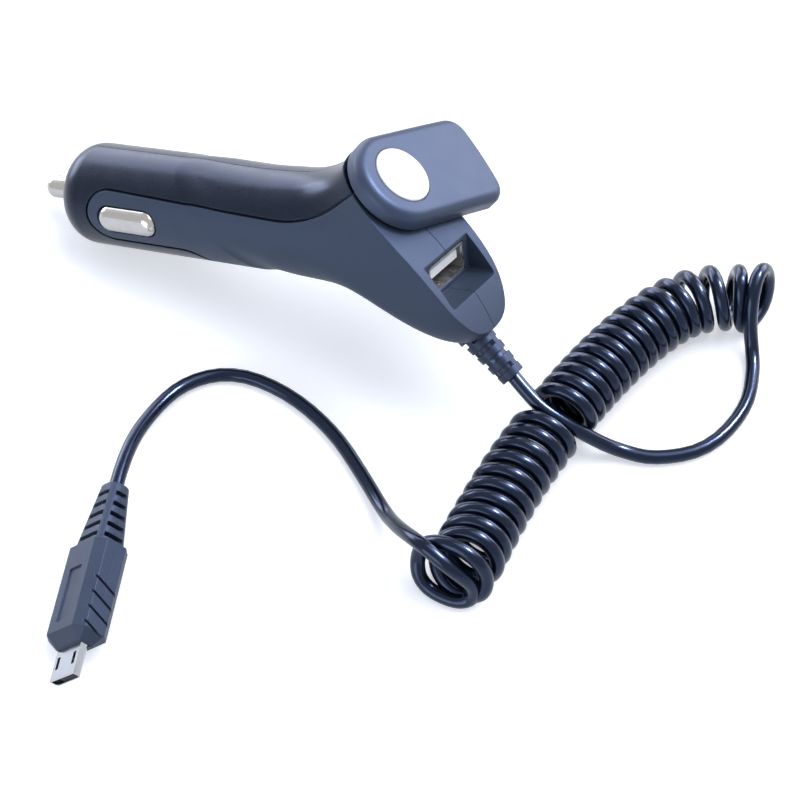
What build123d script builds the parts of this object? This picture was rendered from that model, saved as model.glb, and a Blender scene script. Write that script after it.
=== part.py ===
"""Car charger for a lighter socket: a swivelling lid over a USB-A port, and a curly cord to a micro-USB plug.

Millimetres. The charger is drawn with its barrel along +X from the end of the nose and its lid side up,
and the micro-USB plug with its axis along +X. The last sections move both to where they lie on the floor,
z = 0.
"""

import os
from math import acos, cos, degrees, pi, radians, sin, tan

from build123d import *

# Barrel and housing walls
barrel_diameter = 20.8
barrel_length = 46.0
nose_rounding = 6.0
wall = 2.2
gloss_thickness = 1.0
groove_width = 0.5
seam_gap = 0.12

# Slanted face of the head, measured from the lid's pivot down the slope, with its lower end bent down
face_angle = 45.5
pivot_x = 74.93
pivot_z = 9.26
bend_start = 11.0
bend_radius = 60.0
bend_angle = 36.0

# Sections of the head below the face: depth, upper end, lower end, width and fullness of the oval
head_sections = [
    (-1.5, -10.6, 31.9, 21.2, 2.6),
    (7.2, -10.9, 32.0, 21.2, 2.6),
    (10.6, -12.7, 29.4, 21.0, 2.5),
    (14.1, -15.4, 21.6, 20.8, 2.4),
    (17.2, -18.2, 13.4, 20.7, 2.2),
    (20.6, -21.4, 8.0, 20.7, 2.1),
]
join_overlap = 8.0

# Side tongue, where the matt housing shows between the gloss covers
tongue_start = 9.3
tongue_top = 5.2
tongue_bottom = -5.1
tongue_fall = 1.3
tongue_end = 37.4

# USB-A port in the back wall of its pocket, with the pocket's upper edge measured down the slope
pocket_start = 15.3
pocket_width = 16.6
pocket_depth = 8.0
pocket_wall = 1.5
pocket_corner = 0.7
port_drop = 4.05
usb_width = 13.2
usb_height = 5.8
usb_length = 12.0
usb_sheet = 0.4
usb_tongue_width = 11.0
usb_tongue_height = 1.7
usb_tongue_shift = -0.7
usb_tongue_inset = 0.9
usb_contact_pitch = 2.2
usb_contact_width = 1.0
usb_contact_sheet = 0.2
usb_base = 2.0
fit = 0.1

# Swivelling lid
lid_radius = 9.7
lid_reach = 25.0
lid_thickness = 3.8
lid_corner = 4.2
lid_crown = 60.0
lid_edge = 2.0
lid_skin = 1.7
lid_gap = 0.7
lid_bend_radius = 200.0
lid_bend_angle = 8.0
lid_open_angle = 75.0
disc_diameter = 11.6
disc_depth = 1.0
disc_crown = 0.35
pivot_diameter = 4.0
pivot_head_diameter = 7.0
pivot_head_height = 1.2
boss_diameter = 8.4
boss_length = 7.0
running_gap = 0.05

# Sprung contacts
tip_diameter = 4.8
tip_reach = 9.0
tip_rounding = 2.0
tip_flange_diameter = 8.0
tip_flange_height = 1.2
tip_tail_diameter = 3.2
tip_tail_length = 3.5
spring_diameter = 5.6
spring_wire = 0.7
spring_turns = 4.5
spring_seat = 13.0
seat_thickness = 1.6
seat_width = 10.4
ear_place = 18.9
ear_level = -0.4
ear_length = 14.4
ear_height = 5.6
ear_rise = 1.1
ear_dome = 2.3
ear_wall = 1.3
ear_sheet = 0.5
ear_rim = 0.7
ear_depth = 7.1
ear_arm_length = 8.0
ear_arm_height = 3.0

# Circuit board and what it carries
board_start = 28.0
board_length = 44.0
board_width = 13.4
board_thickness = 1.6
board_corner = 0.8
board_top = -2.6
inductor_diameter = 8.0
inductor_height = 5.0
inductor_rim = 1.0
inductor_place = 43.0
capacitor_diameter = 6.3
capacitor_height = 7.4
capacitor_edge = 0.4
capacitor_place = 52.5
chip_length = 5.0
chip_width = 4.0
chip_height = 1.6
chip_place = 35.5

# Cord, its gland in the heel, and its coil
cord_diameter = 2.8
gland_depth = 8.6
gland_start = 28.3
gland_length = 13.2
gland_neck = 2.4
gland_neck_diameter = 5.2
gland_collar_diameter = 7.0
gland_collar_length = 2.6
gland_end_diameter = 5.0
gland_ribs = 4
rib_slot = 1.0
rib_spine = 1.3
rib_step = 0.3
rib_core = 0.5
coil_diameter = 13.6
crossing_gap = 3.0
crossing_turn = 3.0
lead_straight = 8.4

# Micro-USB plug, from the end of its strain relief
relief_length = 13.6
relief_end_diameter = 5.2
relief_base_width = 8.4
relief_base_height = 6.6
relief_slots = 5
relief_flat = 0.6
relief_corner = 2.0
grip_length = 20.0
grip_width = 10.8
grip_height = 7.6
grip_edge = 1.7
grip_front = 2.0
groove_count = 4
groove_pitch = 3.0
groove_depth = 0.5
groove_slant = 22.0
groove_start = 6.6
badge_place = 10.6
badge_length = 11.0
badge_width = 3.6
badge_depth = 0.35
plug_width = 6.85
plug_height = 1.85
plug_reach = 6.0
plug_seat = 3.0
plug_sheet = 0.25
plug_bevel = 0.5
latch_length = 2.4
latch_width = 0.8
latch_spacing = 4.6
plug_tongue_width = 4.0
plug_tongue_height = 0.5
plug_tongue_inset = 0.6
plug_contact_count = 5
plug_contact_pitch = 0.65
plug_contact_width = 0.35
plug_contact_sheet = 0.12

# Where the charger and the plug lie
charger_place = (-46.67, -7.31, 8.49)
charger_pitch = -16.67
charger_roll = -19.45
plug_place = (-3.9, -66.96, 5.31)
plug_heading = -71.6
plug_roll = 44.0

# Cord routes, with the coil's axis from its far end
lead_points = [
    (71.8, -18.26, 6.8),
    (81.3, -15.76, 1.6),
    (92.3, -8.16, 1.5),
    (95.7, 5.14, 1.5),
    (93.5, 17.14, 1.6),
    (88.3, 25.14, 6.0),
]
coil_points = [
    (87.3, 27.64, 6.8),
    (75.3, 17.64, 6.8),
    (68.3, 0.64, 6.8),
    (64.3, -19.36, 6.8),
    (61.6, -39.36, 6.8),
    (60.3, -59.36, 6.8),
]
plug_lead_points = [
    (60.9, -56.86, 9.0),
    (52.8, -56.36, 8.0),
    (44.3, -50.86, 3.4),
    (35.3, -42.36, 1.6),
    (25.3, -35.16, 1.5),
    (13.0, -30.76, 1.5),
    (1.0, -30.86, 1.5),
    (-6.5, -37.66, 1.6),
    (-7.9, -48.56, 3.2),
]

# Values that follow from the sizes above
barrel_radius = barrel_diameter / 2
slope = (cos(radians(face_angle)), 0, -sin(radians(face_angle)))
normal = (sin(radians(face_angle)), 0, cos(radians(face_angle)))
face_plane = Plane(origin=(pivot_x, 0, pivot_z), x_dir=slope, z_dir=normal)
face_axis = Axis((pivot_x, 0, pivot_z), normal)
side_plane = Plane(origin=(pivot_x, 0, pivot_z), x_dir=slope, z_dir=(0, -1, 0))
lid_plane = Plane(
    origin=face_plane.from_local_coords((0, 0, lid_gap)),
    x_dir=face_plane.x_dir * cos(radians(lid_open_angle)) + face_plane.y_dir * sin(radians(lid_open_angle)),
    z_dir=normal,
)
lid_side_plane = Plane(origin=lid_plane.origin, x_dir=lid_plane.x_dir, z_dir=-lid_plane.y_dir)
port_x = pivot_x + pocket_start * slope[0]
pocket_top = pivot_z + pocket_start * slope[2]
pocket_floor = pocket_top - pocket_depth
port_plane = Plane(origin=(port_x, 0, pocket_top - port_drop), x_dir=(0, 0, -1), z_dir=(1, 0, 0))
gland_plane = Plane(
    origin=face_plane.from_local_coords((gland_start, 0, -gland_depth)), x_dir=(0, 1, 0), z_dir=slope
)


def oval(half_length, half_width, fullness, centre):
    """Points of a superellipse, rounder in its ends as the fullness goes to two."""
    points = []
    for step in range(16):
        turn = 2 * pi * step / 16
        along = abs(cos(turn)) ** (2 / fullness) * (1 if cos(turn) >= 0 else -1)
        across = abs(sin(turn)) ** (2 / fullness) * (1 if sin(turn) >= 0 else -1)
        points.append((centre + half_length * along, half_width * across))
    return points


def body_form(inset, face_drop):
    """The charger's whole outer form, drawn in by an inset, with its face lowered by a drop."""
    radius = barrel_radius - inset
    rounding = nose_rounding - inset
    even_steps = [step / 16 for step in range(17)]
    joins = []
    for join_x in (barrel_length, barrel_length - join_overlap):
        depth = (pivot_x - join_x) * normal[0] + pivot_z * normal[2]
        joins.append((depth, (join_x - pivot_x) * slope[0] - pivot_z * slope[2]))
    with BuildPart() as form:
        with BuildSketch(Plane.XZ):
            with BuildLine():
                Polyline((inset, radius - rounding), (inset, 0), (pivot_x, 0), (pivot_x, radius))
                Line((pivot_x, radius), (inset + rounding, radius))
                CenterArc((inset + rounding, radius - rounding), rounding, 90, 90)
            make_face()
        revolve(axis=Axis.X)
        split(bisect_by=face_plane.offset(-joins[-1][0]), keep=Keep.BOTTOM)
        for depth, upper, lower, width, fullness in head_sections:
            steepness = 1 + (1 / normal[0] - 1) * (depth / joins[0][0])
            half_length = (lower - upper) / 2 - inset * steepness
            outline = oval(half_length, width / 2 - inset, fullness, (upper + lower) / 2)
            with BuildSketch(face_plane.offset(-depth)):
                with BuildLine():
                    add(Edge.make_spline(outline, periodic=True, parameters=even_steps))
                make_face()
        for depth, shift in joins:
            with BuildSketch(face_plane.offset(-depth)):
                with Locations((shift, 0)):
                    Ellipse(radius / normal[0], radius)
        loft()
        with BuildSketch(side_plane):
            with BuildLine():
                centre = (bend_start, -face_drop - bend_radius)
                bend = CenterArc(centre, bend_radius, 90, -bend_angle)
                flat = Line((-3 * barrel_radius, -face_drop), bend @ 0)
                end_s = (bend @ 1).X
                Polyline(bend @ 1, (end_s, barrel_radius), (-3 * barrel_radius, barrel_radius), flat @ 0)
            make_face()
        extrude(amount=barrel_diameter, both=True, mode=Mode.SUBTRACT)
    return form.part


def tongue(margin):
    """Side view of the matt part: a tongue along the barrel that widens into the whole head."""
    top = tongue_top + margin
    bottom = tongue_bottom - margin
    start = tongue_start - margin
    bend = start + (top - bottom) / 2
    dip = (pivot_x - 22.5, top - tongue_fall)
    lower_end = tongue_end - margin
    floor_z = -4 * barrel_radius
    with BuildSketch(Plane.XZ) as outline:
        with BuildLine():
            ThreePointArc((bend, bottom), (start, (top + bottom) / 2), (bend, top))
            Line((bend, top), dip)
            rise = Spline(
                dip,
                (pivot_x - 16.8, top - 1.1),
                (pivot_x - 12.6 - margin / 2, top - 0.1),
                (pivot_x - 8.4 - margin / 2, top + 1.9),
                (pivot_x - 2.6 - margin, pivot_z + 2.0),
                (pivot_x + 4, pivot_z + 7),
                tangents=[(dip[0] - bend, -tongue_fall), (1, 1)],
            )
            Line((bend, bottom), (lower_end - 7, bottom))
            fall = Spline(
                (lower_end - 7, bottom),
                (lower_end - 3.4, bottom - 1.0),
                (lower_end - 1.5, bottom - 3.0),
                (lower_end, -barrel_radius),
                (lower_end + 1.0, -barrel_radius - 3),
                tangents=[(1, 0), (0.3, -1)],
            )
            Polyline(
                rise @ 1,
                (2 * pivot_x, pivot_z + 7),
                (2 * pivot_x, floor_z),
                (lower_end + 1.0, floor_z),
                fall @ 1,
            )
        make_face()
    return outline.sketch


# Housing: two matt halves, and the gloss cover moulded over each
outer_form = body_form(0, 0)
inner_form = body_form(gloss_thickness, 0)
cavity_form = body_form(wall, wall)

with BuildPart() as pocket_walls:
    with BuildSketch(Plane.YZ.offset(port_x - pocket_wall)):
        with Locations((0, pocket_top - pocket_depth / 2)):
            Rectangle(pocket_width + 2 * pocket_wall, pocket_depth + 2 * pocket_wall)
    extrude(amount=barrel_diameter)
    add(outer_form, mode=Mode.INTERSECT)

with BuildPart() as inner_walls:
    with BuildSketch(face_plane):
        Circle(boss_diameter / 2)
    extrude(amount=-boss_length)
    with BuildSketch(gland_plane):
        Circle(gland_collar_diameter / 2 + wall / 2)
    extrude(amount=-gland_neck)
    with BuildSketch(gland_plane):
        Circle(gland_collar_diameter / 2 + wall / 2)
    extrude(amount=gland_collar_length)
    with BuildSketch(Plane.YZ.offset(spring_seat)):
        Rectangle(seat_width, barrel_diameter)
    extrude(amount=seat_thickness)
    add(inner_form, mode=Mode.INTERSECT)

with BuildPart() as housing:
    add(outer_form)
    extrude(tongue(0), amount=barrel_diameter, both=True, mode=Mode.INTERSECT)
    add(inner_form)
    add(cavity_form, mode=Mode.SUBTRACT)
    add(inner_walls.part)
    add(pocket_walls.part)
    with BuildSketch(Plane.YZ.offset(port_x)):
        with Locations((0, pocket_top)):
            RectangleRounded(pocket_width, 2 * pocket_depth, pocket_corner)
    extrude(amount=barrel_diameter, mode=Mode.SUBTRACT)
    with BuildSketch(port_plane):
        Rectangle(usb_height + 2 * fit, usb_width + 2 * fit)
    extrude(amount=-usb_length, mode=Mode.SUBTRACT)
    with BuildSketch(face_plane):
        Circle(pivot_diameter / 2 + running_gap)
    extrude(amount=-boss_length, mode=Mode.SUBTRACT)
    with BuildSketch(gland_plane):
        Circle(gland_collar_diameter / 2 + fit)
    extrude(amount=barrel_diameter, mode=Mode.SUBTRACT)
    with BuildSketch(gland_plane):
        Circle(gland_neck_diameter / 2)
    extrude(amount=-gland_neck, mode=Mode.SUBTRACT)
    with BuildSketch(Plane.YZ):
        Circle(tip_diameter / 2 + running_gap)
    extrude(amount=wall, mode=Mode.SUBTRACT)
    with BuildSketch(Plane.XZ):
        with Locations((ear_place, ear_level)):
            SlotOverall(ear_length + 2 * fit, ear_height + 2 * fit)
    extrude(amount=barrel_diameter, both=True, mode=Mode.SUBTRACT)

with BuildPart() as cover:
    add(outer_form)
    add(inner_form, mode=Mode.SUBTRACT)
    extrude(tongue(groove_width), amount=barrel_diameter, both=True, mode=Mode.SUBTRACT)
    with BuildSketch(Plane.YZ):
        Circle(tip_diameter / 2 + running_gap)
    extrude(amount=wall, mode=Mode.SUBTRACT)


def half(whole, side):
    """One half of a moulding, on the -Y side or the +Y side of the seam."""
    with BuildPart() as piece:
        add(whole)
        split(bisect_by=Plane.XZ.offset(-side * seam_gap / 2), keep=Keep.TOP if side < 0 else Keep.BOTTOM)
    return piece.part


# Sprung tip and ears
flange_start = wall + running_gap
spring_start = flange_start + tip_flange_height

with BuildPart() as tip_contact:
    with BuildSketch(Plane.XZ):
        with BuildLine():
            shoulder = tip_diameter / 2 - tip_rounding
            CenterArc((tip_rounding - tip_reach, shoulder), tip_rounding, 90, 90)
            Polyline(
                (tip_rounding - tip_reach, tip_diameter / 2),
                (flange_start, tip_diameter / 2),
                (flange_start, tip_flange_diameter / 2),
                (spring_start, tip_flange_diameter / 2),
                (spring_start, tip_tail_diameter / 2),
                (spring_start + tip_tail_length, tip_tail_diameter / 2),
                (spring_start + tip_tail_length, 0),
                (-tip_reach, 0),
                (-tip_reach, shoulder),
            )
        make_face()
    revolve(axis=Axis.X)

with BuildPart() as tip_spring:
    coil_height = spring_seat - spring_start - spring_wire
    with BuildLine() as spring_line:
        Helix(
            pitch=coil_height / spring_turns,
            height=coil_height,
            radius=(spring_diameter - spring_wire) / 2,
            center=(spring_start + spring_wire / 2, 0, 0),
            direction=(1, 0, 0),
        )
    with BuildSketch(Plane(origin=spring_line.line @ 0, z_dir=spring_line.line % 0)):
        Circle(spring_wire / 2)
    sweep(is_frenet=True)

with BuildPart() as left_contact:
    ear_height_out = barrel_radius + ear_rise - ear_depth
    arm_start = ear_place + ear_length / 2
    with BuildSketch(Plane.XZ.offset(ear_depth)):
        with Locations((ear_place, ear_level)):
            SlotOverall(ear_length, ear_height)
    extrude(amount=ear_height_out)
    fillet(left_contact.faces().sort_by(Axis.Y)[0].edges(), ear_dome)
    with BuildSketch(Plane.XZ.offset(ear_depth - ear_sheet)):
        with Locations((ear_place, ear_level)):
            SlotOverall(ear_length + 2 * ear_rim, ear_height + 2 * ear_rim)
        with Locations((arm_start + ear_arm_length / 2, ear_level)):
            Rectangle(ear_arm_length, ear_arm_height)
    extrude(amount=ear_sheet)
    with BuildSketch(Plane.XZ.offset(ear_depth - ear_sheet)):
        with Locations((ear_place, ear_level)):
            SlotOverall(ear_length - 2 * ear_wall, ear_height - 2 * ear_wall)
    extrude(amount=ear_height_out, mode=Mode.SUBTRACT)

with BuildPart() as right_contact:
    add(left_contact.part)
    mirror(about=Plane.XZ, mode=Mode.REPLACE)

# USB-A receptacle
with BuildPart() as usb_shell:
    with BuildSketch(port_plane):
        RectangleRounded(usb_height, usb_width, usb_sheet)
    extrude(amount=-usb_length)
    with BuildSketch(port_plane):
        Rectangle(usb_height - 2 * usb_sheet, usb_width - 2 * usb_sheet)
    extrude(amount=-usb_length, mode=Mode.SUBTRACT)

with BuildPart() as usb_tongue:
    with BuildSketch(port_plane.offset(-usb_length)):
        Rectangle(usb_height - 2 * usb_sheet, usb_width - 2 * usb_sheet)
    extrude(amount=usb_base)
    with BuildSketch(port_plane.offset(usb_base - usb_length)):
        with Locations((usb_tongue_shift, 0)):
            Rectangle(usb_tongue_height, usb_tongue_width)
    extrude(amount=usb_length - usb_base - usb_tongue_inset)

with BuildPart() as usb_contacts:
    with BuildSketch(port_plane.offset(usb_base - usb_length)):
        with Locations((usb_tongue_shift + usb_tongue_height / 2 + usb_contact_sheet / 2, 0)):
            with GridLocations(0, usb_contact_pitch, 1, 4):
                Rectangle(usb_contact_sheet, usb_contact_width)
    extrude(amount=usb_length - usb_base - 2 * usb_tongue_inset)

# Circuit board and its components
with BuildPart() as circuit_board:
    with BuildSketch(Plane.XY.offset(board_top)):
        with Locations((board_start + board_length / 2, 0)):
            RectangleRounded(board_length, board_width, board_corner)
    extrude(amount=-board_thickness)

with BuildPart() as inductor:
    with BuildSketch(Plane.XY.offset(board_top)):
        with Locations((inductor_place, 0)):
            Circle(inductor_diameter / 2)
    extrude(amount=inductor_height)
    with BuildSketch(Plane.XY.offset(board_top + inductor_rim)):
        with Locations((inductor_place, 0)):
            Circle(inductor_diameter / 2)
            Circle(inductor_diameter / 2 - inductor_rim, mode=Mode.SUBTRACT)
    extrude(amount=inductor_height - 2 * inductor_rim, mode=Mode.SUBTRACT)

with BuildPart() as capacitor:
    with BuildSketch(Plane.XY.offset(board_top)):
        with Locations((capacitor_place, 0)):
            Circle(capacitor_diameter / 2)
    extrude(amount=capacitor_height)
    chamfer(capacitor.faces().sort_by(Axis.Z)[-1].edges(), capacitor_edge)

with BuildPart() as converter_chip:
    with BuildSketch(Plane.XY.offset(board_top)):
        with Locations((chip_place, 0)):
            Rectangle(chip_length, chip_width)
    extrude(amount=chip_height)

# Swivelling lid with its rivet and white disc
rivet_top = lid_thickness - disc_depth

with BuildSketch() as lid_outline:
    with BuildLine():
        tail = lid_reach - lid_crown + (lid_crown**2 - lid_radius**2) ** 0.5
        CenterArc((0, 0), lid_radius, 90, 180)
        Line((0, -lid_radius), (tail, -lid_radius))
        ThreePointArc((tail, -lid_radius), (lid_reach, 0), (tail, lid_radius))
        Line((tail, lid_radius), (0, lid_radius))
    make_face()
    fillet(lid_outline.vertices().group_by(Axis.X)[-1], lid_corner)


def lid_sheet(top):
    """A wide sheet over the face from the lid's underside to a height, bent down as the face is."""
    with BuildPart() as sheet:
        with BuildSketch(lid_side_plane):
            with BuildLine():
                centre = (bend_start, -lid_bend_radius)
                under = CenterArc(centre, lid_bend_radius, 90, -lid_bend_angle)
                over = CenterArc(centre, lid_bend_radius + top, 90, -lid_bend_angle)
                Line(under @ 1, over @ 1)
                Polyline(under @ 0, (-2 * lid_radius, 0), (-2 * lid_radius, top), over @ 0)
            make_face()
        extrude(amount=2 * lid_radius, both=True)
    return sheet.part


with BuildPart() as lid_hollow:
    with BuildSketch(lid_plane.offset(-lid_reach)):
        offset(lid_outline.sketch, -lid_skin)
        Circle(boss_diameter / 2 + lid_skin, mode=Mode.SUBTRACT)
    extrude(amount=2 * lid_reach)
    add(lid_sheet(lid_thickness - lid_skin), mode=Mode.INTERSECT)

with BuildPart() as lid:
    with BuildSketch(lid_plane.offset(-lid_reach)):
        add(lid_outline.sketch)
    extrude(amount=2 * lid_reach)
    add(lid_sheet(lid_thickness), mode=Mode.INTERSECT)
    bend_line = lid_plane.from_local_coords((bend_start, 0, lid_thickness))
    upper_faces = lid.faces().filter_by(lambda face: face.normal_at().dot(lid_plane.z_dir) > 0.5)
    upper_edges = [edge for face in upper_faces for edge in face.edges()]
    fillet([edge for edge in upper_edges if (edge @ 0.5 - bend_line).length > 1], lid_edge)
    add(lid_hollow.part, mode=Mode.SUBTRACT)
    with BuildSketch(lid_plane.offset(lid_thickness - disc_depth)):
        Circle(disc_diameter / 2 + fit)
    extrude(amount=disc_depth, mode=Mode.SUBTRACT)
    with BuildSketch(lid_plane.offset(rivet_top - pivot_head_height)):
        Circle(pivot_head_diameter / 2)
    extrude(amount=pivot_head_height, mode=Mode.SUBTRACT)
    with BuildSketch(lid_plane):
        Circle(pivot_diameter / 2)
    extrude(amount=lid_thickness, mode=Mode.SUBTRACT)

with BuildPart() as lid_disc:
    with BuildSketch(lid_plane.offset(rivet_top)):
        Circle(disc_diameter / 2)
    extrude(amount=disc_depth + disc_crown)
    fillet(lid_disc.faces().sort_by(face_axis)[-1].edges(), disc_crown)

with BuildPart() as lid_rivet:
    with BuildSketch(lid_plane.offset(rivet_top - pivot_head_height)):
        Circle(pivot_head_diameter / 2)
    extrude(amount=pivot_head_height)
    with BuildSketch(face_plane.offset(-boss_length - running_gap)):
        Circle(pivot_diameter / 2)
    extrude(amount=boss_length + running_gap + lid_gap + rivet_top - pivot_head_height)
    with BuildSketch(face_plane.offset(-boss_length - running_gap)):
        Circle(boss_diameter / 2 - wall / 2)
    extrude(amount=-pivot_head_height)

# Ribbed gland where the cord leaves the heel
with BuildPart() as cord_gland:
    rib_pitch = (gland_length - gland_collar_length) / gland_ribs
    with BuildSketch(gland_plane):
        Circle(gland_neck_diameter / 2)
    extrude(amount=-gland_neck)
    with BuildSketch(gland_plane):
        Circle(gland_collar_diameter / 2)
    extrude(amount=gland_collar_length)
    with BuildSketch(gland_plane.offset(gland_collar_length)):
        Circle(gland_collar_diameter / 2 - rib_step)
    with BuildSketch(gland_plane.offset(gland_length)):
        Circle(gland_end_diameter / 2)
    loft()
    for rib in range(gland_ribs):
        with BuildSketch(gland_plane.offset(gland_collar_length + rib * rib_pitch)):
            Circle(gland_collar_diameter)
            Circle(cord_diameter / 2 + rib_core, mode=Mode.SUBTRACT)
            Rectangle(3 * gland_collar_diameter, rib_spine, rotation=90 * (rib % 2), mode=Mode.SUBTRACT)
        extrude(amount=rib_slot, mode=Mode.SUBTRACT)

# Micro-USB plug
front = relief_length + grip_length

with BuildPart() as plug_grip:
    with BuildSketch(Plane.YZ):
        RectangleRounded(relief_end_diameter, relief_end_diameter - relief_flat, relief_corner)
    with BuildSketch(Plane.YZ.offset(relief_length)):
        RectangleRounded(relief_base_width, relief_base_height, relief_corner)
    loft()
    slot_pitch = relief_length / (relief_slots + 0.6)
    corner_turn = degrees(acos(relief_base_width / (relief_base_width**2 + relief_base_height**2) ** 0.5))
    for slot in range(relief_slots):
        with BuildSketch(Plane.YZ.offset((slot + 0.75) * slot_pitch)):
            Circle(grip_width)
            Circle(cord_diameter / 2 + rib_core, mode=Mode.SUBTRACT)
            for turn in (corner_turn, -corner_turn):
                Rectangle(3 * grip_width, rib_spine, rotation=turn, mode=Mode.SUBTRACT)
        extrude(amount=rib_slot, mode=Mode.SUBTRACT)
    with BuildSketch(Plane.YZ.offset(relief_length)) as grip_outline:
        Rectangle(grip_width, grip_height)
        chamfer(grip_outline.vertices(), grip_edge)
    extrude(amount=grip_length)
    chamfer(plug_grip.faces().sort_by(Axis.X)[-1].edges(), grip_front)
    with BuildSketch(Plane.XY.offset(grip_height / 2)):
        with Locations((relief_length + badge_place, 0)):
            RectangleRounded(badge_length, badge_width, badge_depth)
    extrude(amount=-badge_depth, mode=Mode.SUBTRACT)
    for side in (-1, 1):
        with BuildSketch(Plane.XZ.offset(side * grip_width / 2)):
            with Locations((front - groove_start, 0)):
                with GridLocations(groove_pitch, 0, groove_count, 1):
                    Rectangle(groove_width, 2 * grip_height, rotation=groove_slant)
        extrude(amount=-side * groove_depth, mode=Mode.SUBTRACT)
    with BuildSketch(Plane.YZ.offset(front - plug_seat)):
        Rectangle(plug_width, plug_height)
    extrude(amount=plug_seat, mode=Mode.SUBTRACT)

with BuildPart() as plug_shell:
    with BuildSketch(Plane.YZ.offset(front - plug_seat)) as shell_outline:
        Rectangle(plug_width, plug_height)
        chamfer(shell_outline.vertices().group_by(Axis.Y)[0], plug_bevel)
    extrude(amount=plug_seat + plug_reach)
    with BuildSketch(Plane.YZ.offset(front - plug_seat)):
        offset(shell_outline.sketch_local, -plug_sheet, kind=Kind.INTERSECTION)
    extrude(amount=plug_seat + plug_reach, mode=Mode.SUBTRACT)
    with BuildSketch(Plane.XY):
        with Locations((front + plug_reach * 0.45, 0)):
            with GridLocations(0, latch_spacing, 1, 2):
                Rectangle(latch_length, latch_width)
    extrude(amount=plug_height, mode=Mode.SUBTRACT)

with BuildPart() as plug_insulator:
    with BuildSketch(Plane.YZ.offset(front - plug_seat)):
        offset(shell_outline.sketch_local, -plug_sheet, kind=Kind.INTERSECTION)
    extrude(amount=plug_seat)
    with BuildSketch(Plane.YZ.offset(front)):
        with Locations((0, plug_sheet - plug_height / 2 + plug_tongue_height / 2)):
            Rectangle(plug_tongue_width, plug_tongue_height)
    extrude(amount=plug_reach - plug_tongue_inset)

with BuildPart() as plug_contacts:
    with BuildSketch(Plane.YZ.offset(front)):
        with Locations((0, plug_sheet - plug_height / 2 + plug_tongue_height + plug_contact_sheet / 2)):
            with GridLocations(plug_contact_pitch, 0, plug_contact_count, 1):
                Rectangle(plug_contact_width, plug_contact_sheet)
    extrude(amount=plug_reach - 2 * plug_tongue_inset)

# Cord and its coil, drawn where they lie
charger_pitched = Location(charger_place) * Location((0, 0, 0), (0, charger_pitch, 0))
charger_rest = charger_pitched * Location((0, 0, 0), (charger_roll, 0, 0))
plug_headed = Location(plug_place) * Location((0, 0, 0), (0, 0, plug_heading))
plug_rest = plug_headed * Location((0, 0, 0), (plug_roll, 0, 0))


def placed(location, point):
    """A point of a drawn piece, where the piece lies."""
    return (location * Location(point)).position


def tube(points, diameter):
    """A round solid along straight runs joined by tangent arcs, as wide as each corner has room for."""
    points = [Vector(point) for point in points]
    radii = []
    for before, corner, after in zip(points, points[1:], points[2:]):
        into, out = corner - before, after - corner
        half_turn = radians(into.get_angle(out)) / 2
        radii.append(0.45 * min(into.length, out.length) / tan(half_turn))
    with BuildPart() as solid:
        with BuildLine() as route:
            FilletPolyline(*points, radius=radii)
        with BuildSketch(Plane(origin=points[0], z_dir=points[1] - points[0])):
            Circle(diameter / 2)
        sweep()
    print("bends", [round(radius, 1) for radius in radii], "route", round(route.wire().length, 1))
    return solid.part


gland_end = placed(charger_rest, gland_plane.from_local_coords((0, 0, gland_length)))
gland_tip = placed(charger_rest, gland_plane.from_local_coords((0, 0, gland_length + lead_straight)))
plug_tip = placed(plug_rest, (-lead_straight, 0, 0))
crossing = (gland_tip + Vector(lead_points[0])) / 2
crossing_floor = lead_points[0][2] - cord_diameter / 2 - crossing_gap

with BuildPart() as cord_coil:
    add(tube(coil_points, coil_diameter))
    with BuildSketch(Plane.XY.offset(crossing_floor)):
        with Locations((crossing.X, crossing.Y)):
            Rectangle(2.5 * coil_diameter, cord_diameter + 2 * crossing_gap, rotation=crossing_turn)
    extrude(amount=coil_diameter, mode=Mode.SUBTRACT)

cord_lead = tube([gland_end, gland_tip, *lead_points], cord_diameter)
plug_lead = tube([*plug_lead_points, plug_tip, plug_place], cord_diameter)
print("gland end", gland_end, "next", gland_tip, "plug tip", plug_tip)

# Pieces by name, moved to where they lie and written one by one
charger_pieces = {
    "left_housing": half(housing.part, -1),
    "right_housing": half(housing.part, 1),
    "left_cover": half(cover.part, -1),
    "right_cover": half(cover.part, 1),
    "tip_contact": tip_contact.part,
    "tip_spring": tip_spring.part,
    "left_contact": left_contact.part,
    "right_contact": right_contact.part,
    "usb_shell": usb_shell.part,
    "usb_tongue": usb_tongue.part,
    "usb_contacts": usb_contacts.part,
    "circuit_board": circuit_board.part,
    "inductor": inductor.part,
    "capacitor": capacitor.part,
    "converter_chip": converter_chip.part,
    "lid": lid.part,
    "lid_disc": lid_disc.part,
    "lid_rivet": lid_rivet.part,
    "cord_gland": cord_gland.part,
}
plug_pieces = {
    "plug_grip": plug_grip.part,
    "plug_shell": plug_shell.part,
    "plug_insulator": plug_insulator.part,
    "plug_contacts": plug_contacts.part,
}
cord_pieces = {"cord_lead": cord_lead, "cord_coil": cord_coil.part, "plug_lead": plug_lead}

os.makedirs("parts", exist_ok=True)
groups = [(charger_rest, charger_pieces), (plug_rest, plug_pieces), (Location(), cord_pieces)]
for location, pieces in groups:
    for name, piece in pieces.items():
        resting = piece.moved(location)
        resting.label = name
        export_step(resting, f"parts/{name}.step")
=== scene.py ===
"""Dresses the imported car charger: moulded plastics, plated contacts, a curly cord and a white studio."""

import logging
import math
from dataclasses import dataclass, field
from enum import Enum
from typing import Any

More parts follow.
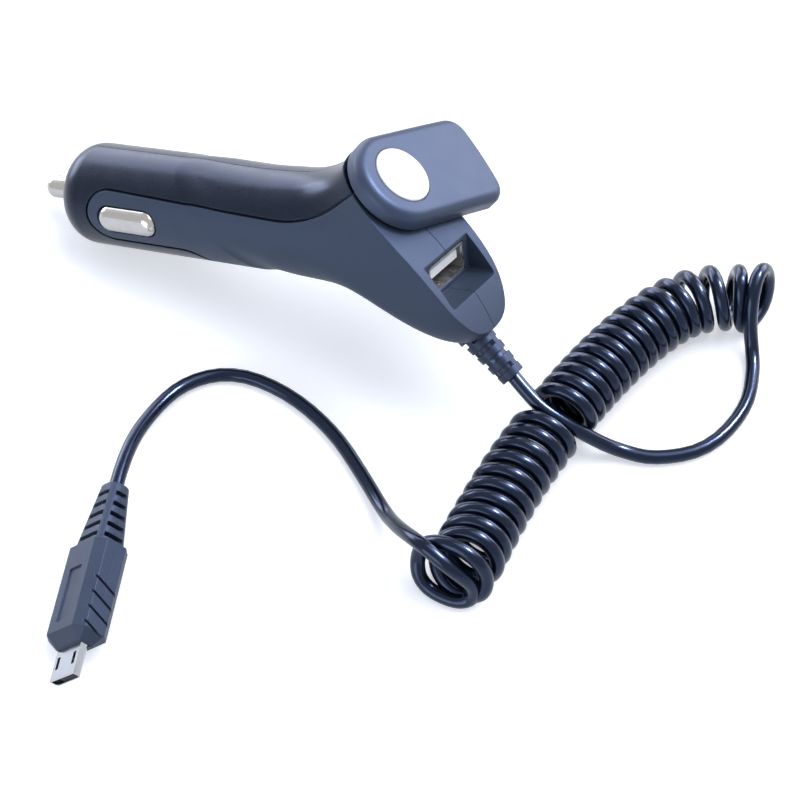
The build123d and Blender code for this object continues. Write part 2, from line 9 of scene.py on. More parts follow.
import bpy
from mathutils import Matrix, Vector


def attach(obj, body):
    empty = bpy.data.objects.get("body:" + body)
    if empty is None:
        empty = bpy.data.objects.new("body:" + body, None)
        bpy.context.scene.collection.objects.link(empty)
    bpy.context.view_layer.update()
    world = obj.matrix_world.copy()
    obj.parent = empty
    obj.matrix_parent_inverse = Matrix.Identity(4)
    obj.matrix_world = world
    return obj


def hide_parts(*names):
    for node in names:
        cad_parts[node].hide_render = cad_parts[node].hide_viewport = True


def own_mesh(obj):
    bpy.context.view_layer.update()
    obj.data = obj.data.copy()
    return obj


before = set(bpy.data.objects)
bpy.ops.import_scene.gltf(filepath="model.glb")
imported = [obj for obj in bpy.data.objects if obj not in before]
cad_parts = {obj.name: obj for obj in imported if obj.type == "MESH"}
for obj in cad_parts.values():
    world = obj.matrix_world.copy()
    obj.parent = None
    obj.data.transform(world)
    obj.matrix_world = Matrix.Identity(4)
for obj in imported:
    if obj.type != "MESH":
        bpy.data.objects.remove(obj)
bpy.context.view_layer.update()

log = logging.getLogger("car_charger")
MM = 0.001
# Noise mostly stays between these two values
NOISE_LOW = 0.3
NOISE_HIGH = 0.7


class Body(Enum):
    """The rigid bodies that the pieces made here ride on."""

    CHARGER = "charger"


class LampKind(Enum):
    """What a lamp does, with its colour: a box lights everything, and a card shows only in shine."""

    BOX = "#ffffff"
    CARD = "#e9eeff"


def linear(colour: str, alpha: float = 1.0) -> tuple[float, float, float, float]:
    """Turns an sRGB hex colour to linear light.

    Args:
        colour: Six hex digits after a hash sign.
        alpha: Opacity that goes with it.

    Returns:
        Red, green, blue and alpha.
    """
    parts = [int(colour[place : place + 2], 16) / 255 for place in (1, 3, 5)]
    light = [part / 12.92 if part <= 0.04045 else ((part + 0.055) / 1.055) ** 2.4 for part in parts]
    return (light[0], light[1], light[2], alpha)


def add_node(
    tree: bpy.types.NodeTree,
    kind: str,
    settings: dict[str, Any] | None = None,
    inputs: dict[str | int, Any] | None = None,
) -> bpy.types.Node:
    """Adds one node with its settings, its values and its links.

    Args:
        tree: The material's or world's nodes.
        kind: The node's type name.
        settings: Properties of the node itself.
        inputs: Values for its sockets, or output sockets to link to them.

    Returns:
        The new node.
    """
    node = tree.nodes.new(kind)
    for name, value in (settings or {}).items():
        setattr(node, name, value)
    for name, value in (inputs or {}).items():
        if isinstance(value, bpy.types.NodeSocket):
            tree.links.new(value, node.inputs[name])
        else:
            node.inputs[name].default_value = value
    return node


def add_object(name: str, data: bpy.types.ID) -> bpy.types.Object:
    """Adds an object to the scene.

    Args:
        name: The object's name.
        data: Its mesh, curve, camera or light.

    Returns:
        The object, at the origin.
    """
    made = bpy.data.objects.new(name, data)
    bpy.context.scene.collection.objects.link(made)
    return made


def skin(rows: int, sides: int) -> list[tuple[int, ...]]:
    """Joins rows of corners to a closed skin.

    Args:
        rows: How many rows there are, from end to end.
        sides: Corners in each row.

    Returns:
        The corners of each face by number, with a face at either end.
    """
    faces: list[tuple[int, ...]] = []
    for first in range(0, (rows - 1) * sides, sides):
        for edge in range(sides):
            beside = (edge + 1) % sides
            faces.append((first + edge, first + beside, first + sides + beside, first + sides + edge))
    faces.append(tuple(reversed(range(sides))))
    faces.append(tuple(range((rows - 1) * sides, rows * sides)))
    return faces


def per_metre(size_mm: float) -> float:
    """The scale of a pattern whose features are that many millimetres apart."""
    return 1 / (size_mm * MM)


@dataclass(frozen=True)
class Finish:
    """A surface's colour, shine and the fine relief that its making left on it.

    Attributes:
        name: The material's name.
        colour: Its main colour, as sRGB hex.
        shade: The colour that it drifts to in patches.
        roughness: Its mean roughness.
        drift: How far the roughness wanders either way.
        metallic: One for a metal, nought for the rest.
        ior: Index of refraction, for what isn't metal.
        patch_mm: Size of the patches of colour and shine.
        grain_mm: Spacing of the fine relief.
        grain_depth_mm: Depth of the fine relief.
        sky: Tint of what it reflects, as sRGB hex.
        edge_mm: Radius that the tool left on its sharp edges.
    """

    name: str
    colour: str
    shade: str
    roughness: float
    drift: float = 0.05
    metallic: float = 0.0
    ior: float = 1.5
    patch_mm: float = 6.0
    grain_mm: float = 0.3
    grain_depth_mm: float = 0.01
    sky: str = "#ffffff"
    edge_mm: float = 0.0

    def material(self) -> bpy.types.Material:
        """Builds the material, or finds it if it is already there.

        Returns:
            A material whose colour, roughness and relief come from its nodes.
        """
        if self.name in bpy.data.materials:
            return bpy.data.materials[self.name]
        made = bpy.data.materials.new(self.name)
        made.use_nodes = True
        tree = made.node_tree
        tree.nodes.clear()
        place = add_node(tree, "ShaderNodeTexCoord").outputs["Object"]
        patches = add_node(
            tree,
            "ShaderNodeTexNoise",
            inputs={"Vector": place, "Scale": per_metre(self.patch_mm), "Detail": 4.0, "Roughness": 0.6},
        )
        colour = add_node(
            tree,
            "ShaderNodeMix",
            {"data_type": "RGBA"},
            {0: patches.outputs["Fac"], 6: linear(self.colour), 7: linear(self.shade)},
        )
        roughness = add_node(
            tree,
            "ShaderNodeMapRange",
            inputs={
                "Value": patches.outputs["Fac"],
                "From Min": NOISE_LOW,
                "From Max": NOISE_HIGH,
                "To Min": self.roughness - self.drift,
                "To Max": self.roughness + self.drift,
            },
        )
        shader = add_node(
            tree,
            "ShaderNodeBsdfPrincipled",
            inputs={
                "Base Color": colour.outputs[2],
                "Roughness": roughness.outputs["Result"],
                "Metallic": self.metallic,
                "Normal": self.relief(tree, place),
                "Specular Tint": linear(self.sky),
            },
        )
        if not self.metallic:
            shader.inputs["IOR"].default_value = self.ior
        add_node(tree, "ShaderNodeOutputMaterial", inputs={"Surface": shader.outputs["BSDF"]})
        return made

    def relief(self, tree: bpy.types.NodeTree, place: bpy.types.NodeSocket) -> bpy.types.NodeSocket:
        """Adds the fine relief, over rounded edges where the tool left them.

        Args:
            tree: The material's nodes.
            place: Coordinates in metres.

        Returns:
            The socket that holds the bumped normal.
        """
        grain = add_node(
            tree,
            "ShaderNodeTexNoise",
            inputs={"Vector": place, "Scale": per_metre(self.grain_mm), "Detail": 2.0},
        )
        bump = add_node(
            tree,
            "ShaderNodeBump",
            inputs={"Height": grain.outputs["Fac"], "Strength": 1.0, "Distance": self.grain_depth_mm * MM},
        )
        if self.edge_mm:
            edge = add_node(tree, "ShaderNodeBevel", {"samples": 6}, {"Radius": self.edge_mm * MM})
            tree.links.new(edge.outputs["Normal"], bump.inputs["Normal"])
        return bump.outputs["Normal"]


# The pale blue that black plastics throw back
COOL = "#a3b9ee"
# ABS moulded in a spark-eroded tool: an even grain that scatters the light to a soft blue grey, drawn coarser
# than the real one so that it shows
MATT_ABS = Finish(
    "matt_abs_spark_grain",
    "#252d39",
    "#2d3643",
    0.54,
    grain_mm=0.4,
    grain_depth_mm=0.03,
    sky=COOL,
    edge_mm=0.3,
)
# ABS moulded in a polished tool: deep black with clear reflections, and a slight ripple of shrinkage
GLOSS_ABS = Finish(
    "gloss_abs_polished",
    "#0f131a",
    "#131820",
    0.28,
    0.03,
    ior=1.42,
    grain_mm=9.0,
    grain_depth_mm=0.004,
    sky=COOL,
    edge_mm=0.3,
)
# ABS from a satin tool, greyer and softer than the housing, with its grain drawn coarse enough to show
SATIN_ABS = Finish(
    "satin_abs_lid", "#2e3644", "#363f4f", 0.44, grain_mm=0.4, grain_depth_mm=0.02, sky=COOL, edge_mm=0.4
)
# White polycarbonate disc, smooth and clean
WHITE_DISC = Finish("white_polycarbonate", "#f4f4f2", "#fafaf8", 0.35, grain_mm=0.8, grain_depth_mm=0.004)
# Bright nickel plate on brass, with the faint waviness of the pressed metal
NICKEL = Finish(
    "bright_nickel_plate",
    "#b2b1ae",
    "#9f9e9b",
    0.2,
    0.06,
    1.0,
    patch_mm=2.5,
    grain_mm=1.2,
    grain_depth_mm=0.008,
)
# Drawn spring wire: grey, with a soft line of light along each turn
SPRING_WIRE = Finish("drawn_spring_wire", "#9a9a98", "#83837f", 0.3, 0.08, 1.0, grain_mm=0.5)
# Tinned steel sheet round the port: pale, with cloudy reflections
TINNED_STEEL = Finish("tinned_steel_sheet", "#b9babb", "#a3a4a6", 0.3, 0.08, 1.0, patch_mm=2.0, grain_mm=0.6)
# Moulded nylon that carries the port's contacts: plain white, hardly shiny
NYLON = Finish("white_nylon", "#f0f0ec", "#e6e6e0", 0.5, grain_mm=0.3)
# Gold flash over nickel on the contacts: thin, pale and bright
GOLD_FLASH = Finish("gold_flash", "#d9b25f", "#c79c48", 0.25, 0.05, 1.0, patch_mm=1.0, grain_mm=0.4)
# Green solder mask over woven glass, with the weave faint under it
SOLDER_MASK = Finish("solder_mask_on_glass", "#1d5a34", "#184d2c", 0.35, grain_mm=0.5, grain_depth_mm=0.01)
# Sintered ferrite drum: dull dark grey, as fired
FERRITE = Finish("sintered_ferrite", "#2a2a2c", "#232325", 0.6, grain_mm=0.2)
# Drawn aluminium can: silver, with blurred reflections
CAN = Finish("drawn_aluminium_can", "#c3c5c8", "#b3b5b9", 0.28, 0.06, 1.0, patch_mm=3.0, grain_mm=0.5)
# Black moulding resin: even and dull
RESIN = Finish("chip_resin", "#1b1b1c", "#222223", 0.55, grain_mm=0.15)
# Turned steel rivet: mid grey, with a soft shine
RIVET_STEEL = Finish("turned_steel_rivet", "#8f9092", "#7d7e80", 0.3, 0.08, 1.0, grain_mm=0.4)
# Soft PVC moulded on to the cord's ends: dull black with a faint bloom
SOFT_PVC = Finish(
    "soft_pvc_moulding", "#181d25", "#1f252e", 0.44, grain_mm=0.4, grain_depth_mm=0.015, sky=COOL, edge_mm=0.2
)
# Thermoplastic rubber over the plug: a dull dark grey, with its grain drawn coarse enough to show
GRIP_RUBBER = Finish(
    "grip_rubber_grain", "#262c36", "#2e3540", 0.5, grain_mm=0.35, grain_depth_mm=0.03, sky=COOL, edge_mm=0.2
)
# Folded stainless shell of the plug: bright, with cloudy patches
STAINLESS = Finish("stainless_plug_shell", "#adb0b5", "#9c9fa5", 0.22, 0.06, 1.0, patch_mm=1.5, grain_mm=0.5)
# Liquid-crystal polymer moulded inside the plug: black and dull
POLYMER = Finish("black_contact_carrier", "#141414", "#191919", 0.5, grain_mm=0.2)
# PVC jacket drawn through a die: smooth, so each turn carries a small clear highlight
CORD_PVC = Finish(
    "extruded_pvc_jacket", "#080d17", "#0c1320", 0.2, 0.04, grain_mm=1.5, grain_depth_mm=0.01, sky=COOL
)


@dataclass
class SubAssembly:
    """Solids that are moulded, pressed or fitted together, with a finish for each.

    Attributes:
        finishes: Finish by node name.
    """

    finishes: dict[str, Finish] = field(default_factory=dict)

    def dress(self) -> None:
        """Gives each shown solid its finish."""
        for node, finish in self.finishes.items():
            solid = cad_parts[node]
            solid.data.materials.clear()
            solid.data.materials.append(finish.material())
            log.info("%s: %s", node, finish.name)

    def build(self) -> None:
        """Dresses the solids; a group that lacks a piece adds it here too."""
        self.dress()


@dataclass
class Housing(SubAssembly):
    """The two grained halves and the two polished covers on the barrel."""

    finishes: dict[str, Finish] = field(
        default_factory=lambda: {
            "left_housing": MATT_ABS,
            "right_housing": MATT_ABS,
            "left_cover": GLOSS_ABS,
            "right_cover": GLOSS_ABS,
        }
    )


@dataclass
class PressContacts(SubAssembly):
    """The sprung tip and the two sprung ears that meet the socket.

    Attributes:
        nose: Middle of the barrel's end, in millimetres.
        along: The way that the tip goes in.
        spring_start: Where the spring meets the tip's flange, along that way, in millimetres.
        spring_seat: Where it rests in the barrel.
        spring_diameter: Over the wire.
        wire: Diameter of the wire.
        turns: Turns of the spring.
        steps: Stations in each turn.
        sides: Sides of the wire.
        travel: How far the tip goes in; not used.
    """

    finishes: dict[str, Finish] = field(
        default_factory=lambda: {"tip_contact": NICKEL, "left_contact": NICKEL, "right_contact": NICKEL}
    )
    nose: tuple[float, float, float] = (-46.67, -7.31, 8.49)
    along: tuple[float, float, float] = (0.95797, 0.0, 0.28686)
    spring_start: float = 3.45
    spring_seat: float = 13.0
    spring_diameter: float = 5.6
    wire: float = 0.7
    turns: float = 4.5
    steps: int = 24
    sides: int = 10
    travel: float = 3.0

    def spring(self) -> None:
        """Winds the tip's spring from the tip's flange to its seat."""
        along = Vector(self.along).normalized()
        side = Vector((0, 1, 0))
        top = along.cross(side)
        room = self.spring_seat - self.spring_start
        start = Vector(self.nose) + along * (self.spring_start + self.wire / 2)
        last = round(self.turns * self.steps)
        climb = along * ((room - self.wire) / last)
        reach = (self.spring_diameter - self.wire) / 2
        corners: list[Vector] = []
        for step in range(last + 1):
            angle = 2 * math.pi * step / self.steps
            out = side * math.cos(angle) + top * math.sin(angle)
            middle = start + climb * step + out * reach
            for edge in range(self.sides):
                tilt = 2 * math.pi * edge / self.sides
                spoke = out * math.cos(tilt) + along * math.sin(tilt)
                corners.append((middle + spoke * self.wire / 2) * MM)
        mesh = bpy.data.meshes.new("wound_spring")
        mesh.from_pydata(corners, [], skin(last + 1, self.sides))
        mesh.shade_smooth()
        mesh.materials.append(SPRING_WIRE.material())
        wound = add_object("wound_spring", mesh)
        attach(wound, Body.CHARGER.value)
        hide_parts("tip_spring")
        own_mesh(wound)
        log.info("wound_spring: %s", SPRING_WIRE.name)

    def build(self) -> None:
        """Dresses the contacts and winds the spring."""
        self.dress()
        self.spring()


@dataclass
class UsbPort(SubAssembly):
    """The USB socket in the head's pocket."""

    finishes: dict[str, Finish] = field(
        default_factory=lambda: {"usb_shell": TINNED_STEEL, "usb_tongue": NYLON, "usb_contacts": GOLD_FLASH}
    )


@dataclass
class Electronics(SubAssembly):
    """The converter board inside the barrel and what is soldered on it."""

    finishes: dict[str, Finish] = field(
        default_factory=lambda: {
            "circuit_board": SOLDER_MASK,
            "inductor": FERRITE,
            "capacitor": CAN,
            "converter_chip": RESIN,
        }
    )


@dataclass
class SwivelLid(SubAssembly):
    """The lid that swings over the pocket, its plain white disc and its rivet."""

    finishes: dict[str, Finish] = field(
        default_factory=lambda: {"lid": SATIN_ABS, "lid_disc": WHITE_DISC, "lid_rivet": RIVET_STEEL}
    )


@dataclass
class CordGland(SubAssembly):
    """The ribbed strain relief where the cord leaves the head."""

    finishes: dict[str, Finish] = field(default_factory=lambda: {"cord_gland": SOFT_PVC})


@dataclass
class MicroPlug(SubAssembly):
    """The moulded plug on the cord's far end, with the flash line that its tool left down both sides.

    Attributes:
        heading: Of the plug's nose on the table, in degrees.
        roll: Of the plug about its nose, in degrees.
        middle: A point on its axis, in millimetres.
        seam_from: Where the line starts, along the nose from the middle, in millimetres.
        seam_to: Where the line ends.
        seam_step: Distance between its stations.
        seam_width: Breadth of the line.
        seam_height: How far it stands proud.
        seam_crest: Breadth of its crest, as a share of the line's.
        probe_from: Distance from the axis at which the search for the surface starts.
        probe_limit: Distance from the axis past which nothing is the grip's side.
    """

    finishes: dict[str, Finish] = field(
        default_factory=lambda: {
            "plug_grip": GRIP_RUBBER,
            "plug_shell": STAINLESS,
            "plug_insulator": POLYMER,
            "plug_contacts": GOLD_FLASH,
        }
    )
    heading: float = -71.6
    roll: float = 44.0
    middle: tuple[float, float, float] = (-3.9, -66.96, 5.31)
    seam_from: float = 0.8
    seam_to: float = 26.0
    seam_step: float = 0.4
    seam_width: float = 0.28
    seam_height: float = 0.1
    seam_crest: float = 0.4
    probe_from: float = 20.0
    probe_limit: float = 9.0

    def axes(self) -> tuple[Vector, Vector, Vector]:
        """Works out how the plug lies.

        Returns:
            Its own nose, side and top directions.
        """
        turn, lean = math.radians(self.heading), math.radians(self.roll)
        nose = Vector((math.cos(turn), math.sin(turn), 0.0))
        level = Vector((-math.sin(turn), math.cos(turn), 0.0))
        side = level * math.cos(lean) + Vector((0, 0, 1)) * math.sin(lean)
        return nose, side, nose.cross(side)

    def seam(self, sign: int) -> None:
        """Lays the flash line down one side.

        Args:
            sign: One for the plug's left, minus one for its right.
        """
        nose, side, top = self.axes()
        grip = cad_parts["plug_grip"]
        start = Vector(self.middle) * MM
        half = top * (self.seam_width / 2 * MM)
        crest = side * (sign * self.seam_height * MM)
        edge = half * self.seam_crest
        section = (-half - crest, crest - edge, crest + edge, half - crest)
        corners: list[Vector] = []
        for step in range(round((self.seam_to - self.seam_from) / self.seam_step) + 1):
            along = start + nose * (self.seam_from + step * self.seam_step) * MM
            hit, place, _, _ = grip.ray_cast(along + side * (sign * self.probe_from * MM), side * -sign)
            if hit and (place - along).length <= self.probe_limit * MM:
                corners += [place + corner for corner in section]
        rows = len(corners) // len(section)
        name = "plug_flash_left" if sign > 0 else "plug_flash_right"
        mesh = bpy.data.meshes.new(name)
        mesh.from_pydata(corners, [], skin(rows, len(section)))
        mesh.materials.append(GRIP_RUBBER.material())
        line = add_object(name, mesh)
        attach(line, Body.CHARGER.value)
        log.info("%s: %d stations", name, rows)

    def build(self) -> None:
        """Dresses the plug and lays both lines."""
        self.dress()
        for sign in (1, -1):
            self.seam(sign)


@dataclass
class CurlyCord:
    """The cord from the gland, through its coil, to the micro-USB plug, as one spline.

    Attributes:
        length: Of the whole cord in metres, all of it in the photograph; not used.
        diameter: Of the cord.
        coil_radius: From the coil's axis to the middle of the cord.
        swell: How much wider the last turn is.
        swell_turns: How many turns it widens over.
        steps: Points in each turn.
        first: The turn that the coil proper starts at.
        turns: The turn that it ends at.
        pitch: Axial room of one turn between its far end and the crossing.
        near_pitch: The same from the crossing to the near end.
        open_room: Extra room that the first turns share.
        open_turns: How many turns it fades over.
        crossing_turn: The turn after which the lead passes between two turns.
        crossing_room: Extra room for the lead there.
        crossing_start: How far into the next turn that room starts, in turns.
        crossing_span: How many turns it grows over.
        end_room: Extra room of the last turn.
        end_turns: How many turns it grows over.
        sweep: How far the foot of the first turns is swept back to the far end, as a slope.
        sweep_turns: How many turns it fades over.
        sweep_from: Where on a turn there is no sweep, in degrees from its top.
        lean: How far the last turn's top leans back, as a slope.
        lean_turns: How many turns it grows over.
        lead: Route from the gland to the coil, in millimetres.
        axis: Route of the coil's axis from its far end, in millimetres.
        plug_lead: Route from the coil to the plug, in millimetres.
    """

    length: float = 1.13
    diameter: float = 2.8 * MM
    coil_radius: float = 5.4 * MM
    swell: float = 0.2 * MM
    swell_turns: float = 5.0
    steps: int = 14
    first: float = 0.3
    turns: float = 24.9
    pitch: float = 2.9 * MM
    near_pitch: float = 3.4 * MM
    open_room: float = 7.0 * MM
    open_turns: float = 2.4
    crossing_turn: int = 14
    crossing_room: float = 4.4 * MM
    crossing_start: float = 0.55
    crossing_span: float = 0.4
    end_room: float = 0.3 * MM
    end_turns: float = 1.3
    sweep: float = 0.42
    sweep_turns: float = 9.0
    sweep_from: float = -45.0
    lean: float = 0.4
    lean_turns: float = 6.0
    lead: list[tuple[float, float, float]] = field(
        default_factory=lambda: [
            (54.23, -16.09, 12.75),
            (59, -18.2, 11),
            (62.6, -19.1, 10),
            (66.6, -18.9, 8.3),
            (70.3, -18.1, 6),
            (73.8, -17, 3.6),
            (77.3, -15.8, 1.8),
            (83.6, -14.7, 1.45),
            (92.2, -8.2, 1.45),
            (95.6, 4.2, 1.45),
            (93.7, 13.5, 1.45),
            (92, 17.4, 2.2),
            (90.5, 19.4, 5),
            (89.4, 20.8, 8.4),
            (88.5, 23.1, 11.8),
            (88, 26.4, 13.6),
            (88.2, 29.5, 13),
            (89, 31.5, 10.4),
            (90, 31.1, 6.6),
            (90.2, 29.6, 2.5),
            (89.7, 26.8, 1.5),
            (88.9, 23.6, 1.5),
            (88, 21.9, 2.9),
            (87.3, 21.8, 5.8),
            (86.6, 22.4, 9.2),
            (85.6, 24.3, 12),
        ]
    )
    axis: list[tuple[float, float, float]] = field(
        default_factory=lambda: [
            (86.4, 25.8, 6.8),
            (81.4, 24, 6.8),
            (74.4, 17.2, 6.8),
            (68.1, 1, 6.8),
            (63.7, -19.7, 6.8),
            (61.4, -39.5, 6.8),
            (61.7, -58.8, 7),
        ]
    )
    plug_lead: list[tuple[float, float, float]] = field(
        default_factory=lambda: [
            (66.6, -55.5, 7.8),
            (64.6, -55.4, 11.6),
            (60.9, -55.2, 13),
            (57.1, -55.2, 12.5),
            (53.7, -55.2, 9.6),
            (53.2, -56.3, 6.2),
            (54.2, -58.2, 3.6),
            (56.4, -59, 1.7),
            (59.6, -59.4, 1.4),
            (62.9, -59.1, 1.4),
            (65.1, -58, 2.6),
            (64.8, -57.4, 5.8),
            (62.8, -58.1, 8.8),
            (60.3, -58.6, 11.2),
            (57.5, -58.2, 12.4),
            (54.6, -57.4, 12.8),
            (51.6, -55.8, 11.2),
            (47.8, -53.1, 7.8),
            (43, -48.7, 3),
            (35.3, -42.2, 1.5),
            (25.3, -35.16, 1.45),
            (13, -30.76, 1.45),
            (1, -30.86, 1.45),
            (-6.5, -37.66, 1.6),
            (-7.9, -48.56, 3.2),
            (-6.55, -58.99, 5.31),
            (-3.9, -66.96, 5.31),
        ]
    )

    def spline(self, name: str, points: list[Vector]) -> bpy.types.Object:
        """Makes a curve of one smooth open spline.

        Args:
            name: The object's name.
            points: Control points in metres.

        Returns:
            The curve object, with no thickness yet.
        """
        curve = bpy.data.curves.new(name, "CURVE")
        curve.dimensions = "3D"
        line = curve.splines.new("NURBS")
        line.points.add(len(points) - 1)
        for control, point in zip(line.points, points):
            control.co = (*point, 1.0)
        line.order_u = 3
        line.use_endpoint_u = True
        return add_object(name, curve)

    def axis_line(self) -> list[Vector]:
        """Reads the coil's axis from its own spline.

        Returns:
            Close points along the axis, from the far end.
        """
        guide = self.spline("coil_axis", [Vector(point) * MM for point in self.axis])
        guide.data.resolution_u = 24
        mesh = bpy.data.meshes.new_from_object(guide)
        points = [vertex.co.copy() for vertex in mesh.vertices]
        bpy.data.objects.remove(guide)
        bpy.data.meshes.remove(mesh)
        return points

    def advance(self, turn: float) -> float:
        """Works out how far along its axis the coil has got.

        Args:
            turn: Turns from the far end.

        Returns:
            Distance along the axis in metres.
        """
        opened = self.open_room * (1 - math.exp(-turn / self.open_turns))
        under = (turn - self.crossing_turn - self.crossing_start) / self.crossing_span
        under = min(max(under, 0.0), 1.0)
        stepped = self.crossing_room * under * under * (3 - 2 * under)
        nearer = (self.near_pitch - self.pitch) * max(0.0, turn - self.crossing_turn)
        loose = self.end_room * max(0.0, (turn - self.turns + self.end_turns) / self.end_turns) ** 2
        return self.pitch * turn + opened + stepped + nearer + loose

    def coil(self) -> list[Vector]:
        """Winds the coil round its axis.

        Returns:
            Control points of every turn, from the far end to the near end.
        """
        line = self.axis_line()
        lengths = [0.0]
        for before, after in zip(line, line[1:]):
            lengths.append(lengths[-1] + (after - before).length)
        log.info("coil axis %.1f mm, turns need %.1f mm", lengths[-1] / MM, self.advance(self.turns) / MM)
        points = []
        for step in range(round(self.first * self.steps), round(self.turns * self.steps) + 1):
            turn = step / self.steps
            along = self.advance(turn)
            index = max(i for i in range(len(lengths) - 1) if lengths[i] <= along)
            run = (line[index + 1] - line[index]).normalized()
            middle = line[index] + run * (along - lengths[index])
            right = run.cross(Vector((0, 0, 1))).normalized()
            up = right.cross(run)
            wider = self.swell * max(0.0, (turn - self.turns + self.swell_turns) / self.swell_turns) ** 2
            reach = (self.coil_radius + wider) / math.cos(math.pi / self.steps)
            angle = 2 * math.pi * turn - math.pi / 2
            slope = self.lean * max(0.0, (turn - self.turns + self.lean_turns) / self.lean_turns) ** 2
            rise = up - run * slope
            foot = (1 - math.cos(angle - math.radians(self.sweep_from))) / 2
            swept = self.sweep * max(0.0, 1 - turn / self.sweep_turns) * foot
            aside = right * math.sin(angle) - run * swept
            points.append(middle + (rise * math.cos(angle) + aside) * reach)
        return points

    def build(self) -> None:
        """Makes the cord, dresses it and says what it is."""
        lead = [Vector(point) * MM for point in self.lead]
        plug_lead = [Vector(point) * MM for point in self.plug_lead]
        cord = self.spline("cord", [*lead, *self.coil(), *plug_lead])
        cord.data.resolution_u = 4
        cord.data.bevel_depth = self.diameter / 2
        cord.data.bevel_resolution = 5
        cord.data.use_fill_caps = True
        cord.data.materials.append(CORD_PVC.material())
        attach(cord, Body.CHARGER.value)
        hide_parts("cord_lead", "cord_coil", "plug_lead")
        log.info("cord: %d control points", len(cord.data.splines[0].points))


@dataclass(frozen=True)
class Lamp:
    """A square lamp that faces the object.

    Attributes:
        name: The lamp's name.
        place: Where it hangs, in metres.
        size: Of its side, in metres.
        power: In watts.
        kind: Whether it lights the object or only shows in its shine.
    """

    name: str
    place: tuple[float, float, float]
    size: float
    power: float
    kind: LampKind


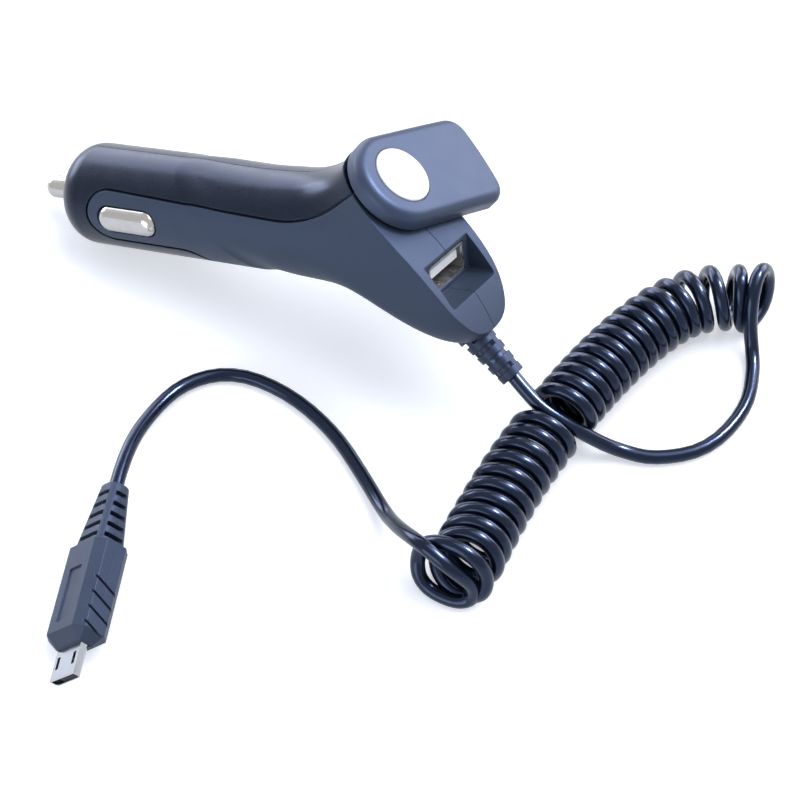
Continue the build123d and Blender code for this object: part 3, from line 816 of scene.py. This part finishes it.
@dataclass
class Studio:
    """The white table, the soft light and the photograph's camera.

    Attributes:
        focal_mm: Of the lens, on a sensor of sensor_mm.
        sensor_mm: Width of the sensor.
        elevation: Of the camera above the table, in degrees.
        azimuth: Of the camera round the object, in degrees.
        distance: From the camera to what it looks at.
        target: Point at the middle of the picture, in millimetres.
        near_clip: Distance from the camera at which it starts to see.
        table_reach: From the table's middle to its edges, in metres.
        table_colour: Of the table, as sRGB hex.
        table_lift: How much the table brightens for the camera and in shine.
        room_colour: Of the light that fills the room, as sRGB hex.
        room_power: Its strength.
        aim: What the lamps face, in metres.
        lamps: The lamps.
    """

    focal_mm: float = 81.0
    sensor_mm: float = 36.0
    elevation: float = 54.0
    azimuth: float = 25.6
    distance: float = 353.3 * MM
    target: tuple[float, float, float] = (33.33, -22.11, 0.06)
    near_clip: float = 10 * MM
    table_reach: float = 1.5
    table_colour: str = "#f2f4f8"
    table_lift: float = 0.42
    room_colour: str = "#ccd8f0"
    room_power: float = 0.6
    aim: tuple[float, float, float] = (0.02, -0.02, 0.0)
    lamps: tuple[Lamp, ...] = (
        Lamp("top_box", (0.3, 0.3, 0.85), 0.8, 7.5, LampKind.BOX),
        Lamp("fill_box", (-0.15, -0.8, 0.18), 0.6, 5.0, LampKind.BOX),
        Lamp("spark_card", (0.36, 0.42, 0.72), 0.2, 22.0, LampKind.CARD),
        Lamp("back_card", (0.4, 0.95, 0.36), 0.7, 10.0, LampKind.CARD),
        Lamp("horizon_card", (-0.72, 0.7, 0.34), 0.8, 9.5, LampKind.CARD),
        Lamp("side_card", (-0.98, 0.2, 0.18), 0.5, 7.0, LampKind.CARD),
    )

    def camera(self) -> None:
        """Sets the camera at the photograph's angle."""
        lens = bpy.data.cameras.new("photo_camera")
        lens.lens = self.focal_mm
        lens.sensor_width = self.sensor_mm
        lens.clip_start = self.near_clip
        turn = math.radians(self.azimuth)
        lift = math.radians(self.elevation)
        level = math.cos(lift)
        back = Vector((math.sin(turn) * level, -math.cos(turn) * level, math.sin(lift)))
        camera = add_object("photo_camera", lens)
        camera.location = Vector(self.target) * MM + back * self.distance
        camera.rotation_euler = (-back).to_track_quat("-Z", "Y").to_euler()
        bpy.context.scene.camera = camera

    def floor(self) -> None:
        """Lays the white table top, which keeps the shadow."""
        mesh = bpy.data.meshes.new("table_top")
        reach = self.table_reach
        corners = [(-reach, -reach, 0), (reach, -reach, 0), (reach, reach, 0), (-reach, reach, 0)]
        mesh.from_pydata(corners, [], [(0, 1, 2, 3)])
        table = add_object("table_top", mesh)
        made = bpy.data.materials.new("white_table_laminate")
        made.use_nodes = True
        tree = made.node_tree
        tree.nodes.clear()
        rays = add_node(tree, "ShaderNodeLightPath")
        seen = add_node(
            tree,
            "ShaderNodeMath",
            {"operation": "MAXIMUM"},
            {0: rays.outputs["Is Camera Ray"], 1: rays.outputs["Is Glossy Ray"]},
        )
        lift = add_node(
            tree, "ShaderNodeMath", {"operation": "MULTIPLY"}, {0: seen.outputs[0], 1: self.table_lift}
        )
        glow = add_node(tree, "ShaderNodeEmission", inputs={"Strength": lift.outputs[0]})
        matt = add_node(tree, "ShaderNodeBsdfDiffuse", inputs={"Color": linear(self.table_colour)})
        both = add_node(tree, "ShaderNodeAddShader", inputs={0: matt.outputs[0], 1: glow.outputs[0]})
        add_node(tree, "ShaderNodeOutputMaterial", inputs={"Surface": both.outputs[0]})
        mesh.materials.append(made)

    def lights(self) -> None:
        """Hangs the boxes that light the object and stands the cards that only shine shows."""
        for lamp in self.lamps:
            light = bpy.data.lights.new(lamp.name, "AREA")
            light.size = lamp.size
            light.energy = lamp.power
            light.color = linear(lamp.kind.value)[:3]
            hung = add_object(lamp.name, light)
            hung.location = lamp.place
            hung.visible_diffuse = lamp.kind is LampKind.BOX
            hung.rotation_euler = (Vector(self.aim) - hung.location).to_track_quat("-Z", "Y").to_euler()

    def room(self) -> None:
        """Fills the room with pale light, and shows it white to the camera, in shine and through glass."""
        world = bpy.data.worlds.new("white_room")
        bpy.context.scene.world = world
        world.use_nodes = True
        tree = world.node_tree
        tree.nodes.clear()
        rays = add_node(tree, "ShaderNodeLightPath")
        pale = add_node(
            tree,
            "ShaderNodeBackground",
            inputs={"Color": linear(self.room_colour), "Strength": self.room_power},
        )
        white = add_node(tree, "ShaderNodeBackground", inputs={"Color": linear("#ffffff"), "Strength": 1.0})
        shiny = add_node(
            tree,
            "ShaderNodeMath",
            {"operation": "MAXIMUM"},
            {0: rays.outputs["Is Glossy Ray"], 1: rays.outputs["Is Transmission Ray"]},
        )
        seen = add_node(
            tree,
            "ShaderNodeMath",
            {"operation": "MAXIMUM"},
            {0: rays.outputs["Is Camera Ray"], 1: shiny.outputs[0]},
        )
        mixed = add_node(
            tree, "ShaderNodeMixShader", inputs={0: seen.outputs[0], 1: pale.outputs[0], 2: white.outputs[0]}
        )
        add_node(tree, "ShaderNodeOutputWorld", inputs={"Surface": mixed.outputs[0]})

    def build(self) -> None:
        """Sets up the whole studio."""
        bpy.context.scene.view_settings.view_transform = "Standard"
        self.camera()
        self.floor()
        self.lights()
        self.room()
        log.info("studio: %d lamps", len(self.lamps))


def main() -> None:
    """Builds the classes in order."""
    logging.basicConfig(level=logging.INFO, format="%(message)s")
    Studio().build()
    CurlyCord().build()
    for group in (Housing, PressContacts, UsbPort, Electronics, SwivelLid, CordGland, MicroPlug):
        group().build()


if __name__ == "__main__":
    main()
